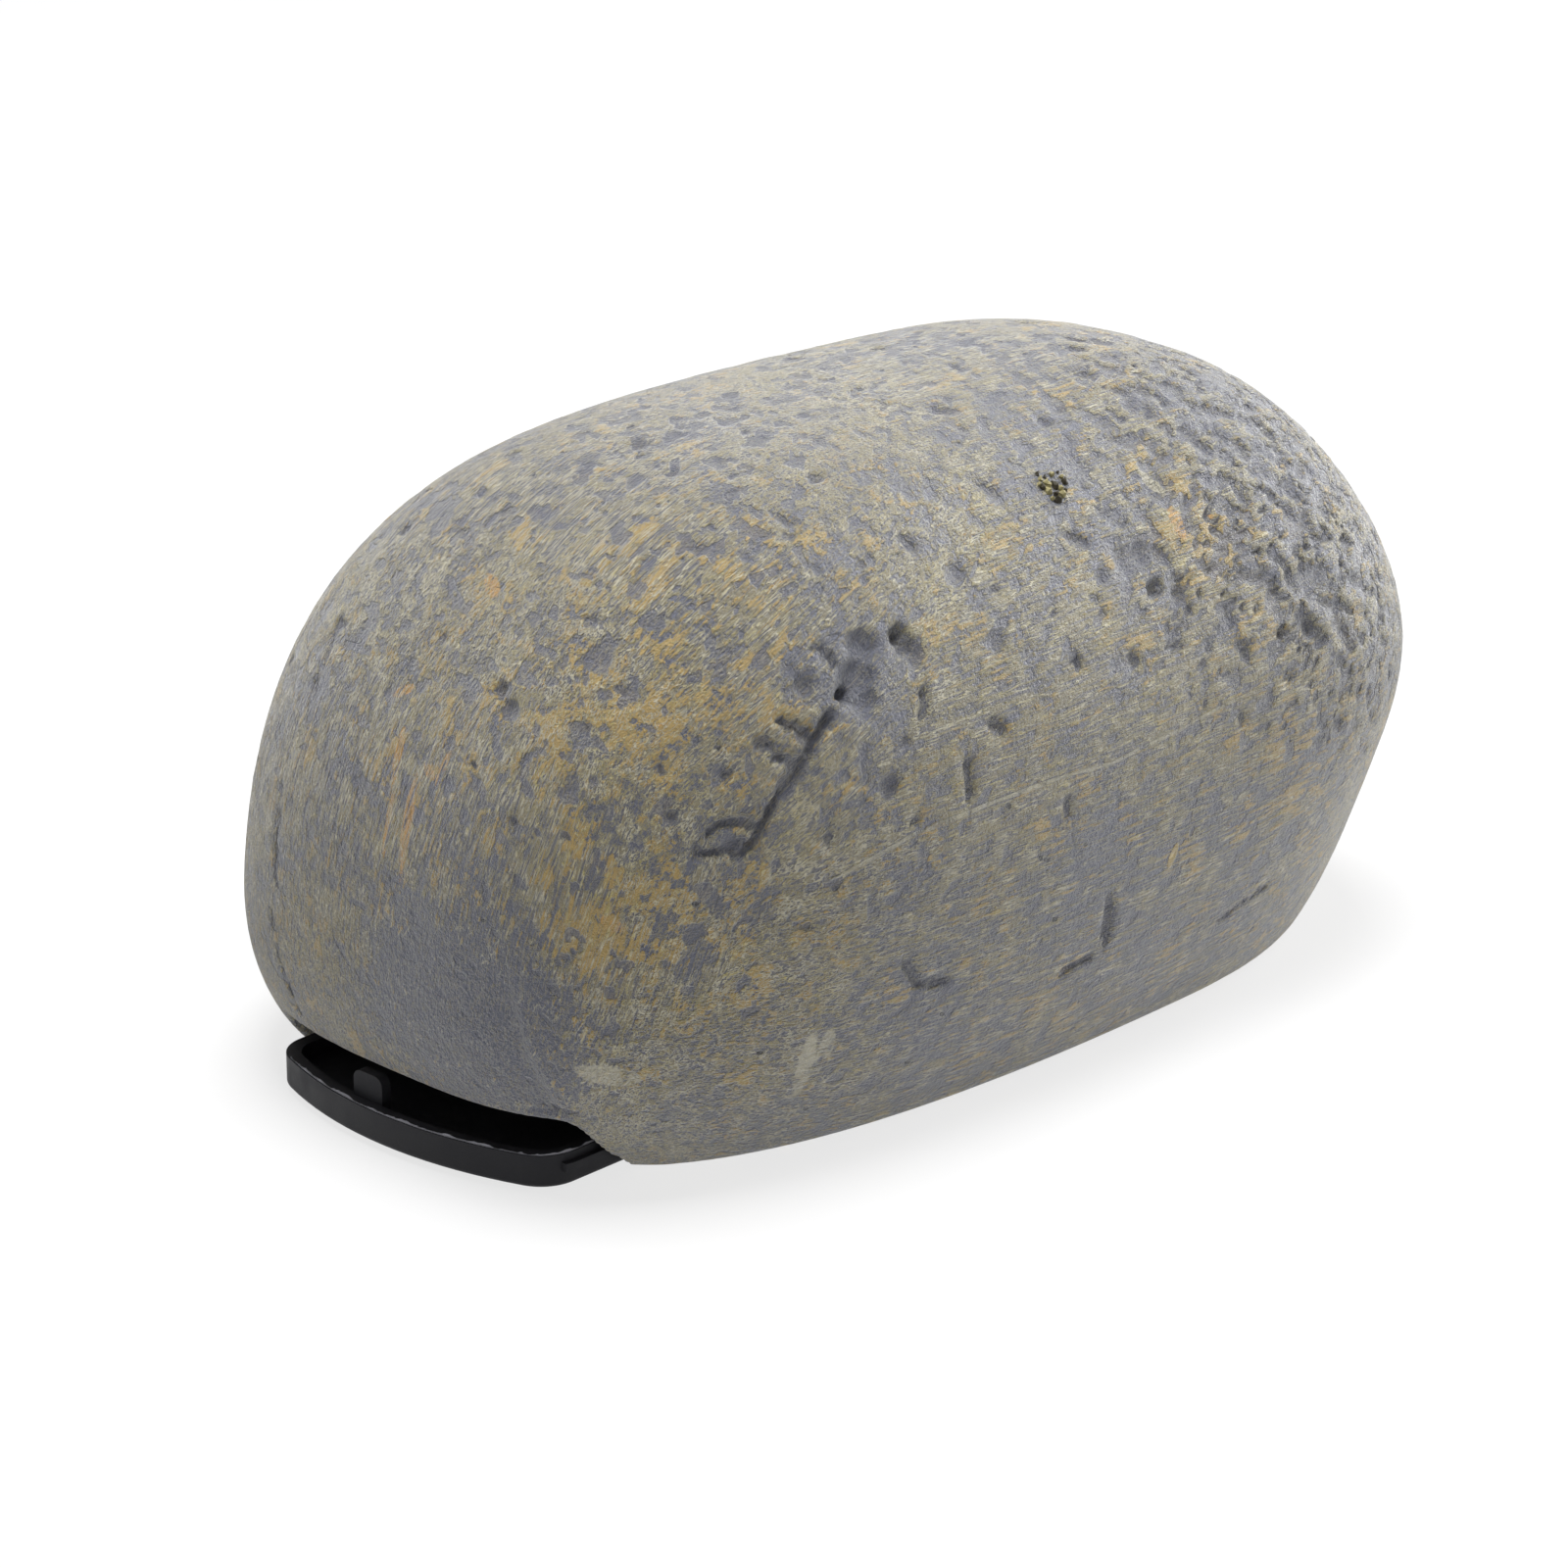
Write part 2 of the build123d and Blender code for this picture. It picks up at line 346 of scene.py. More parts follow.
def smoothstep(low, high, value):
    """0 below low, 1 above high and a smooth rise between."""
    share = np.clip((value - low) / (high - low), 0, 1)
    return share * share * (3 - 2 * share)


rock = closed_pebble()
cut(rock, prism(notch_outline(), -LENGTH, BOX_FRONT))
remesh = rock.modifiers.new("remesh", "REMESH")
remesh.mode = "VOXEL"
remesh.voxel_size = VOXEL
apply_modifiers(rock)
soften_mouth(rock.data)
pocket_outline = [
    (SLIDE_CENTRE - POCKET_HALF, CUTTER_FOOT),
    (SLIDE_CENTRE + POCKET_HALF, CUTTER_FOOT),
    (SLIDE_CENTRE + POCKET_HALF, POCKET_TOP),
    (SLIDE_CENTRE - POCKET_HALF, POCKET_TOP),
]
cut(rock, prism(pocket_outline, POCKET_FRONT, POCKET_REAR))

skin_points = vertex_array(rock.data)
skin_normals = vertex_array(rock.data, "normal")


# ---------------------------------------------------------------- places in the photograph

CAMERA_FORWARD = Vector(
    (sin(CAMERA_TURN) * cos(CAMERA_DROP), cos(CAMERA_TURN) * cos(CAMERA_DROP), -sin(CAMERA_DROP))
)
CAMERA_RIGHT = Vector((cos(CAMERA_TURN), -sin(CAMERA_TURN), 0))
CAMERA_UP = CAMERA_RIGHT.cross(CAMERA_FORWARD)
CAMERA_PLACE = CAMERA_AIM - CAMERA_FORWARD * CAMERA_DISTANCE

surface = BVHTree.FromPolygons(
    [Vector(point) for point in skin_points], [tuple(p.vertices) for p in rock.data.polygons]
)


def place(pixel):
    """Point of the rock's skin that the photograph shows at a pixel."""
    across = (pixel[0] - PHOTO_SIZE / 2) / FOCAL_PIXELS
    down = (pixel[1] - PHOTO_SIZE / 2) / FOCAL_PIXELS
    ray = CAMERA_FORWARD + CAMERA_RIGHT * across - CAMERA_UP * down
    found = surface.ray_cast(CAMERA_PLACE, ray.normalized())[0]
    return np.array(found)


# ---------------------------------------------------------------- relief

tree = KDTree(len(skin_points))
for index, point in enumerate(skin_points):
    tree.insert(point, index)
tree.balance()


def noise_at(points, size, octaves=1, shift=0):
    """Smooth noise, from about -1 to 1, whose lumps have the given size."""
    scaled = points / size + shift
    if octaves == 1:
        return np.array([noise.noise(Vector(p)) for p in scaled])
    return np.array([noise.fractal(Vector(p), 1.0, 2.0, octaves) for p in scaled])


def drawn_out(points, direction, longer):
    """The points, changed so that noise on them is longer along the direction."""
    direction = unit(np.array(direction, dtype=float))
    return points - np.outer(points @ direction * (1 - 1 / longer), direction)


def wander(points, size, reach):
    """The points, each moved a little at random, so that outlines drawn with them are ragged."""
    moved = [noise.noise_vector(Vector(p)) for p in points / size]
    return points + reach * np.array(moved)


def zones(spots):
    """Sum of soft round zones on the skin: each has a pixel, a radius and an amount."""
    total = np.zeros(len(skin_points))
    for pixel, radius, amount in spots:
        apart = np.linalg.norm(skin_points - place(pixel), axis=1) / radius
        total += amount * np.exp(-(apart**2))
    return total


# Each pair is where a fade starts and where it ends.
MOUTH_FADE = (0.15, 1.0)
BASE_FADE = (0.1, 1.5)
UPPER_FADE = (14, 36)

# Size and reach of the wandering that makes outlines ragged.
COARSE_RAG = (1.6, 0.8)
FINE_RAG = (0.7, 0.35)
DENT_RAG = (0.8, 0.25)

in_pocket = (
    (np.abs(skin_points[:, 1] - SLIDE_CENTRE) < POCKET_HALF + POCKET_SLACK)
    & (skin_points[:, 0] > POCKET_FRONT - POCKET_SLACK)
    & (skin_points[:, 0] < POCKET_REAR + POCKET_SLACK)
    & (skin_points[:, 2] < POCKET_TOP + POCKET_SLACK)
)
# The relief fades out at the notch and at the base, and the pocket's walls stay plain.
outer = smoothstep(*MOUTH_FADE, notch_distance(skin_points))
outer = outer * smoothstep(*BASE_FADE, skin_points[:, 2]) * ~in_pocket
upper = smoothstep(*UPPER_FADE, skin_points[:, 2])

relief = np.zeros(len(skin_points))
recess = np.zeros(len(skin_points))
ragged_points = wander(wander(skin_points, *COARSE_RAG), *FINE_RAG)
dent_points = wander(skin_points, *DENT_RAG)

# How rough or hammered the skin is, how much of it the paint covers and how warm the paint is,
# zone by zone: pixel, radius, amount.
ROUGH_EVERYWHERE = 0.2
ROUGH_UPPER = 0.4
ROUGH_MOST = 1.3
HAMMERED_UPPER = 0.1
ROUGH_ZONES = [
    ((1330, 560), 17, 0.6),
    ((1250, 440), 14, 0.4),
    ((1180, 590), 8, 0.3),
    ((870, 670), 6, 0.3),
    ((980, 720), 10, -0.2),
    ((1000, 860), 16, -0.3),
    ((1200, 760), 16, -0.3),
    ((520, 1080), 14, -1.0),
    ((420, 1000), 12, -0.6),
]
HAMMERED_ZONES = [
    ((1340, 540), 15, 0.8),
    ((1250, 440), 12, 0.6),
    ((1120, 380), 12, 0.3),
    ((1190, 590), 7, 0.5),
    ((1380, 680), 8, 0.3),
]
COVER_ZONES = [
    ((450, 990), 7, -0.19),
    ((510, 1080), 6, -0.18),
    ((420, 1060), 5, -0.10),
    ((310, 960), 4, 0.06),
    ((600, 930), 8, 0.05),
    ((740, 560), 12, 0.03),
    ((640, 720), 12, 0.05),
    ((1240, 560), 5, 0.10),
    ((1280, 720), 9, 0.05),
    ((1050, 730), 12, 0.05),
    ((1300, 850), 8, -0.04),
    ((820, 1000), 8, 0.03),
    ((1110, 900), 8, -0.08),
    ((960, 1060), 9, -0.07),
    ((1180, 980), 9, -0.05),
    ((1060, 470), 6, -0.08),
    ((600, 610), 4, -0.04),
    ((870, 690), 4, -0.12),
    ((820, 640), 6, -0.05),
]
WARM_ZONES = [
    ((1230, 545), 4.0, 0.5),
    ((420, 800), 6, 0.2),
    ((600, 720), 7, 0.3),
    ((700, 760), 7, 0.2),
    ((640, 950), 6, 0.4),
    ((760, 960), 7, 0.25),
    ((500, 600), 4, 0.2),
    ((740, 560), 9, 0.2),
    ((1330, 760), 8, 0.25),
]
rough = np.clip(ROUGH_EVERYWHERE + ROUGH_UPPER * upper + zones(ROUGH_ZONES), 0, ROUGH_MOST) * outer
hammered = np.clip(HAMMERED_UPPER * upper + zones(HAMMERED_ZONES), 0, 1) * outer
cover = zones(COVER_ZONES)
warm = zones(WARM_ZONES)

# The end face lies a little behind the painted flank, along this fold, and is mostly bare there.
FOLD = [(532, 1040), (542, 1076), (558, 1106), (582, 1141)]
FOLD_DEPTH = 0.45
FOLD_REACH = 4.0
FOLD_STEP = 0.6
FOLD_BARE = 0.1


def behind_line(pixels, reach):
    """1 just behind a line of pixels, fading to 0 at about the reach, and 0 before the line."""
    points = [place(pixel) for pixel in pixels]
    result = np.zeros(len(skin_points))
    for start, end in zip(points, points[1:]):
        run = end - start
        share = np.clip((skin_points - start) @ run / (run @ run), 0, 1)
        offset = skin_points - (start + share[:, None] * run)
        apart = np.linalg.norm(offset, axis=1)
        side = np.sum(np.cross(run, skin_normals) * offset, axis=1) / np.linalg.norm(run)
        share_behind = smoothstep(0.0, FOLD_STEP, side) * np.exp(-((apart / reach) ** 2))
        result = np.maximum(result, share_behind)
    return result


behind_fold = behind_line(FOLD, FOLD_REACH)
fold = FOLD_DEPTH * behind_fold
cover -= FOLD_BARE * behind_fold


DENT_MARGIN = 1.5
DENT_EDGE = (0.4, 1.1)


def press(share, depth, found=slice(None), bare=1.0):
    """Presses the skin in by depth where share is 1 and leaves it where share is 0."""
    relief[found] = np.minimum(relief[found], -depth * share)
    recess[found] = np.maximum(recess[found], bare * share)


def dent(centre, radius, depth, along=None, longer=1.0, bare=1.0):
    """Presses one ragged dent into the skin: longer is its length over its width."""
    found = [item[1] for item in tree.find_range(Vector(centre), radius * longer + DENT_MARGIN)]
    if not found:
        return
    offset = dent_points[found] - centre
    if along is not None:
        offset = drawn_out(offset, along, longer)
    share = np.linalg.norm(offset, axis=1) / radius
    press(1 - smoothstep(*DENT_EDGE, share), depth, found, bare)


# Torn hollows all over the upper half, where the brush didn't reach.
BRUSHED = (1, 0, 0.1)
HOLLOW_SIZE = 1.6
HOLLOW_LONGER = 1.3
HOLLOW_LEVEL = 0.47
HOLLOW_MORE = 0.22
HOLLOW_EDGE = 0.08
HOLLOW_DEPTH = 0.14
hollow_noise = noise_at(drawn_out(ragged_points, BRUSHED, HOLLOW_LONGER), HOLLOW_SIZE, 3)
hollows = smoothstep(0.0, HOLLOW_EDGE, hollow_noise - HOLLOW_LEVEL + HOLLOW_MORE * rough)
press(hollows, HOLLOW_DEPTH * np.clip(rough, ROUGH_EVERYWHERE, 1))

# Hammered dents run down to the right over the far shoulder.
HAMMERED = (0.75, -0.35, -0.5)
NICK_SIZE = 0.9
NICK_LONGER = 2.4
NICK_LEVEL = 0.66
NICK_MORE = 0.5
NICK_EDGE = 0.15
NICK_DEPTH = 0.4
NICK_BARE = 0.8
NICK_SHIFT = 31
hammered_points = drawn_out(ragged_points, HAMMERED, NICK_LONGER)
hammer_noise = noise_at(hammered_points, NICK_SIZE, 2, shift=NICK_SHIFT)
nicks = smoothstep(0.0, NICK_EDGE, hammer_noise - NICK_LEVEL + NICK_MORE * hammered)
press(nicks, NICK_DEPTH * hammered, bare=NICK_BARE)

chance = np.random.default_rng(SEED)
PIT_COUNT = 320
PIT_RADII = (0.35, 0.75)
PIT_DEPTH = 0.65  # as a share of the radius
PIT_TURN = 0.3
PIT_SHORTEST = 1.5  # length over width
PIT_LONGER = 1.6
PIT_ROUGH = 0.1


def scatter(count, weight, low, high, depth):
    """Pits at random vertices, more of them where the weight is larger."""
    # Sorted by place, so that how the mesh numbers its vertices makes no difference.
    order = np.lexsort(np.round(skin_points, 2).T)
    picks = order[chance.choice(len(order), count, replace=False, p=weight[order] / weight.sum())]
    for pick in picks:
        radius = low + (high - low) * chance.random() ** 2
        along = np.array(HAMMERED) + chance.normal(0, PIT_TURN, 3)
        longer = PIT_SHORTEST + PIT_LONGER * chance.random()
        dent(skin_points[pick], radius, depth * radius, along, longer)


scatter(PIT_COUNT, hammered + PIT_ROUGH * rough**2, *PIT_RADII, PIT_DEPTH)

# Dents that the photograph shows, by name. Each groove has a radius and a depth.
GROOVE_GAP = 0.35
FURROW_GROOVE = (0.5, 0.8)
BRANCH_GROOVE = (0.4, 0.5)
UPRIGHT_GROOVE = (0.5, 0.45)
CRACK_GROOVE = (0.3, 0.3)
FURROW = [(847, 732), (829, 761), (818, 785), (794, 815), (779, 844), (767, 865)]
FURROW_BRANCHES = [
    [(829, 755), (824, 747), (797, 735)],
    [(818, 779), (791, 773)],
    [(779, 844), (757, 838), (735, 840), (724, 850)],
    [(767, 862), (740, 858)],
    [(758, 870), (711, 868)],
    [(862, 705), (856, 680), (836, 660)],
]
UPRIGHT_DENTS = [
    [(1133, 916), (1131, 940), (1129, 962)],
    [(925, 983), (937, 1004), (966, 1001)],
    [(1085, 992), (1114, 975)],
    [(942, 708), (943, 726)],
    [(988, 778), (991, 812)],
]
EDGE_CRACKS = [
    [(556, 1131), (584, 1136)],
    [(278, 930), (284, 975), (296, 1008), (308, 1036)],
    [(288, 800), (282, 860), (283, 905)],
    [(350, 625), (334, 668), (320, 700)],
    [(1292, 905), (1262, 925), (1244, 940)],
]


def groove(pixels, radius, depth):
    """Presses a groove along a line of pixels."""
    points = [place(pixel) for pixel in pixels]
    for start, end in zip(points, points[1:]):
        count = max(2, int(np.linalg.norm(end - start) / GROOVE_GAP))
        for step in range(count + 1):
            dent(start + (end - start) * step / count, radius, depth)


groove(FURROW, *FURROW_GROOVE)
for branch in FURROW_BRANCHES:
    groove(branch, *BRANCH_GROOVE)
for dent_line in UPRIGHT_DENTS:
    groove(dent_line, *UPRIGHT_GROOVE)
for crack in EDGE_CRACKS:
    groove(crack, *CRACK_GROOVE)

# Single pits: pixel, radius, depth.
NAMED_PITS = [
    ((880, 660), 1.7, 0.6),
    ((876, 690), 1.8, 0.8),
    ((882, 715), 1.4, 0.6),
    ((863, 707), 0.8, 1.4),
    ((916, 648), 0.9, 1.1),
    ((925, 660), 1.2, 0.7),
    ((935, 674), 0.9, 0.5),
    ((815, 785), 1.3, 0.5),
    ((803, 805), 1.2, 0.5),
    ((909, 803), 1.1, 0.35),
    ((741, 791), 0.6, 0.35),
    ((684, 832), 0.7, 0.35),
    ((847, 856), 0.6, 0.3),
    ((821, 702), 1.0, 0.4),
    ((1150, 572), 1.5, 0.55),
    ((1165, 565), 1.4, 0.55),
    ((1180, 600), 1.0, 0.6),
    ((1205, 605), 0.9, 0.6),
    ((1240, 540), 0.6, 0.5),
    ((1310, 645), 0.7, 0.7),
    ((1338, 640), 1.1, 0.7),
    ((1347, 655), 0.8, 0.5),
    ((975, 587), 1.2, 0.3),
    ((1016, 655), 1.2, 0.25),
    ((610, 672), 1.4, 0.25),
    ((512, 705), 0.7, 0.5),
    ((520, 725), 1.0, 0.35),
]
for pixel, radius, depth in NAMED_PITS:
    dent(place(pixel), radius, depth)

LUMP_HEIGHT = 0.05
BROAD_LUMPS = 10.0
ROUGH_LUMPS = 3.0
BRUSH_HEIGHT = 0.06
BRUSH_SIZE = 1.0
BRUSH_LONGER = 3
BRUSH_SHIFT = 7
lumps = LUMP_HEIGHT * noise_at(skin_points, BROAD_LUMPS, 2)
lumps = lumps + LUMP_HEIGHT * rough * noise_at(skin_points, ROUGH_LUMPS, 2)
brushed_points = drawn_out(skin_points, BRUSHED, BRUSH_LONGER)
brushed = BRUSH_HEIGHT * rough * noise_at(brushed_points, BRUSH_SIZE, 2, shift=BRUSH_SHIFT)
push = (relief + lumps + brushed - fold) * outer
moved_points = skin_points + skin_normals * push[:, None]

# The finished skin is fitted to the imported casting's own box.
moved_low, moved_high = moved_points.min(axis=0), moved_points.max(axis=0)
rock_low, rock_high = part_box("rock_shell")
target_low, target_high = np.array(rock_low) / MM, np.array(rock_high) / MM
share = (moved_points - moved_low) / (moved_high - moved_low)
moved_points = target_low + share * (target_high - target_low)

set_positions(rock.data, moved_points * MM)
for name, values in (("recess", recess), ("cover", cover), ("warm", warm)):
    layer = rock.data.attributes.new(name, "FLOAT", "POINT")
    layer.data.foreach_set("value", values.astype(np.float32))
rock.data.shade_smooth()


# ---------------------------------------------------------------- materials


class Graph:
    """Shorthand for building one material's nodes."""

    def __init__(self, name):
        self.material = bpy.data.materials.new(name)
        self.material.use_nodes = True
        self.tree = self.material.node_tree
        self.shader = self.tree.nodes["Principled BSDF"]

    def feed(self, socket, value):
        """Links another node's output to the socket, or sets a plain value on it."""
        if isinstance(value, bpy.types.NodeSocket):
            self.tree.links.new(value, socket)
        else:
            socket.default_value = value

    def add(self, kind, inputs=None, **settings):
        """A new node with its settings and inputs."""
        node = self.tree.nodes.new(kind)
        for key, value in settings.items():
            setattr(node, key, value)
        for key, value in (inputs or {}).items():
            self.feed(node.inputs[key], value)
        return node

    def math(self, operation, first, second=0.0):
        """Result of a sum on one or two numbers."""
        node = self.add("ShaderNodeMath", {0: first, 1: second}, operation=operation)
        return node.outputs[0]

    def step(self, value, low, high, start=0.0, end=1.0):
        """A smooth rise from start to end as the value goes from low to high."""
        inputs = {"Value": value, "From Min": low, "From Max": high}
        inputs.update({"To Min": start, "To Max": end})
        node = self.add("ShaderNodeMapRange", inputs, interpolation_type="SMOOTHSTEP")
        return node.outputs["Result"]

    def blend(self, share, first, second, mode="MIX"):
        """Mix of two colours."""
        node = self.add("ShaderNodeMix", data_type="RGBA", blend_type=mode)
        self.feed(node.inputs["Factor"], share)
        self.feed(node.inputs[6], first)
        self.feed(node.inputs[7], second)
        return node.outputs[2]

    def noise(self, vector, size, detail=2.0, roughness=0.5, distortion=0.0):
        """Noise from 0 to 1 whose lumps are about the given number of millimetres."""
        inputs = {
            "Vector": vector,
            "Scale": 1 / (size * MM),
            "Detail": detail,
            "Roughness": roughness,
            "Distortion": distortion,
        }
        return self.add("ShaderNodeTexNoise", inputs).outputs["Fac"]

    def drawn_out(self, vector, direction, longer):
        """The vector, changed so that noise on it is longer along the direction."""
        turned = Vector(direction).to_track_quat("X", "Z").to_euler()
        inputs = {"Vector": vector, "Rotation": turned, "Scale": (longer, 1, 1)}
        return self.add("ShaderNodeMapping", inputs, vector_type="TEXTURE").outputs[0]

    def wobble(self, vector, size, reach):
        """Noise from minus to plus reach."""
        swing = self.math("SUBTRACT", self.noise(vector, size), 0.5)
        return self.math("MULTIPLY", swing, 2 * reach)

    def total(self, *parts):
        """Sum of values, each with its weight."""
        result = None
        for value, weight in parts:
            value = value if weight == 1 else self.math("MULTIPLY", value, weight)
            result = value if result is None else self.math("ADD", result, value)
        return result

    def thin(self, value, width):
        """1 on the lines where noise is halfway, and 0 off them."""
        off_line = self.math("ABSOLUTE", self.math("SUBTRACT", value, 0.5))
        return self.step(off_line, width / 2, width, 1, 0)

    def marks(self, vector, spots, ragged):
        """1 on long spots with ragged edges, each from one pixel to another, with a radius."""
        nearest = None
        for first, last, radius in spots:
            start, end = place(first), place(last)
            run = Vector(end - start)
            turned = run.to_track_quat("X", "Z").to_euler()
            middle = Vector((start + end) / 2) * MM
            size = Vector((run.length / 2 + radius, radius, radius)) * MM
            inputs = {"Vector": vector, "Location": middle, "Rotation": turned, "Scale": size}
            inside = self.add("ShaderNodeMapping", inputs, vector_type="TEXTURE").outputs[0]
            length = self.add("ShaderNodeVectorMath", {0: inside}, operation="LENGTH")
            span = length.outputs["Value"]
            nearest = span if nearest is None else self.math("MINIMUM", nearest, span)
        return self.step(self.total((nearest, 1), (ragged, 1)), 0.9, 1.1, 1, 0)

    def attribute(self, name):
        """A value kept on the mesh."""
        return self.add("ShaderNodeAttribute", attribute_name=name).outputs["Fac"]

    def place(self):
        """The point's own place on the object."""
        return self.add("ShaderNodeTexCoord").outputs["Object"]


def tone(red, green, blue):
    """A colour as the screen shows it, 0 to 255, made linear."""
    linear = []
    for value in (red, green, blue):
        value /= 255
        linear.append(value / 12.92 if value <= 0.04045 else ((value + 0.055) / 1.055) ** 2.4)
    return (*linear, 1)


RESIN = tone(80, 83, 98)
BLUE_RESIN = tone(90, 93, 110)
RESIN_GRIT = tone(116, 118, 128)
FILM = tone(132, 125, 104)
DRY_FILM = tone(150, 141, 110)
OCHRE = tone(180, 152, 88)
ORANGE = tone(206, 158, 84)
OLIVE = tone(192, 176, 98)
PALE = tone(204, 198, 174)
# Near black for the pinholes: painted shade standing in for the dark inside of each hole.
PINHOLE_SHADE = tone(14, 14, 16)
GOLD = tone(208, 184, 116)

# Grain of the painted resin: sizes in millimetres, and how many times longer the strokes are.
GRIT_SIZE = 0.28
STREAK_SIZE = 0.32
STREAK_LONGER = 11
BRISTLE_SIZE = 0.22
BRISTLE_LONGER = 14
TORN_SIZE = 1.7
PATCH_SIZE = 7.0
FIBRE_WIDTH = 0.05
BUMP_DEPTH = 0.0006

# Ways that the brush went: on the left end, on the shoulder, and on the rest.
STEEP = (0.25, -0.2, 0.95)
SLANTING = (0.9, 0, 0.42)
LEVEL = (1, 0, 0.03)

# Marks that the photograph shows: from one pixel to another, and the radius.
ORANGE_STROKES = [
    ((412, 745), (401, 800), 0.4),
    ((424, 797), (410, 885), 0.5),
    ((402, 810), (392, 870), 0.3),
    ((458, 770), (446, 800), 0.3),
    ((435, 783), (441, 792), 0.4),
    ((500, 592), (504, 603), 0.6),
    ((405, 708), (418, 702), 0.4),
    ((620, 940), (630, 946), 0.5),
    ((1198, 525), (1206, 540), 0.7),
    ((1232, 520), (1236, 526), 0.4),
]
PALE_STROKES = [
    ((846, 1058), (838, 1085), 0.7),
    ((828, 1062), (815, 1108), 0.8),
    ((600, 1094), (640, 1100), 0.9),
    ((1165, 483), (1185, 500), 0.5),
]
LONG_RIDGE = [
    ((850, 897), (935, 850), 0.2),
    ((925, 854), (1022, 815), 0.24),
    ((1012, 819), (1092, 790), 0.2),
    ((1080, 794), (1145, 776), 0.16),
    ((1130, 781), (1220, 737), 0.2),
    ((1210, 741), (1266, 711), 0.16),
]
# Pinholes in the casting: each one is coloured near black, which is painted shade, not the resin's
# colour.
PINHOLES = [
    ((1028, 822), (1030, 823), 0.24),
    ((1075, 938), (1077, 938), 0.24),
    ((1066, 877), (1069, 877), 0.2),
    ((1106, 862), (1108, 862), 0.16),
    ((1061, 875), (1062, 876), 0.2),
    ((708, 922), (710, 922), 0.2),
    ((1087, 992), (1089, 993), 0.2),
    ((493, 939), (495, 939), 0.16),
    ((960, 1035), (962, 1035), 0.2),
    ((774, 1074), (776, 1074), 0.22),
    ((821, 1131), (823, 1131), 0.2),
    ((924, 1084), (926, 1084), 0.2),
    ((1157, 556), (1160, 556), 0.24),
]
LEAF = [((1194, 881), (1200, 865), 0.42)]


def brush_strokes(g, where, size, longer, detail=3):
    """Streaky noise: steep on the left end, slanting on the shoulder, level on the rest."""
    axes = g.add("ShaderNodeSeparateXYZ", {0: where}).outputs
    wobble = g.wobble(where, 8, 0.010)
    off_end = g.step(g.math("ADD", axes["X"], wobble), -0.048, -0.036)
    shoulder = g.total((axes["X"], 1), (axes["Z"], -1.1), (wobble, 1))
    off_shoulder = g.step(shoulder, -0.070, -0.050)
    steep = g.noise(g.drawn_out(where, STEEP, longer), size, detail, 0.6)
    slanting = g.noise(g.drawn_out(where, SLANTING, longer), size, detail, 0.6)
    level = g.noise(g.drawn_out(where, LEVEL, longer), size, detail, 0.6)
    rest = g.add("ShaderNodeMix", {0: off_shoulder, 2: slanting, 3: level}).outputs[0]
    return g.add("ShaderNodeMix", {0: off_end, 2: steep, 3: rest}).outputs[0]


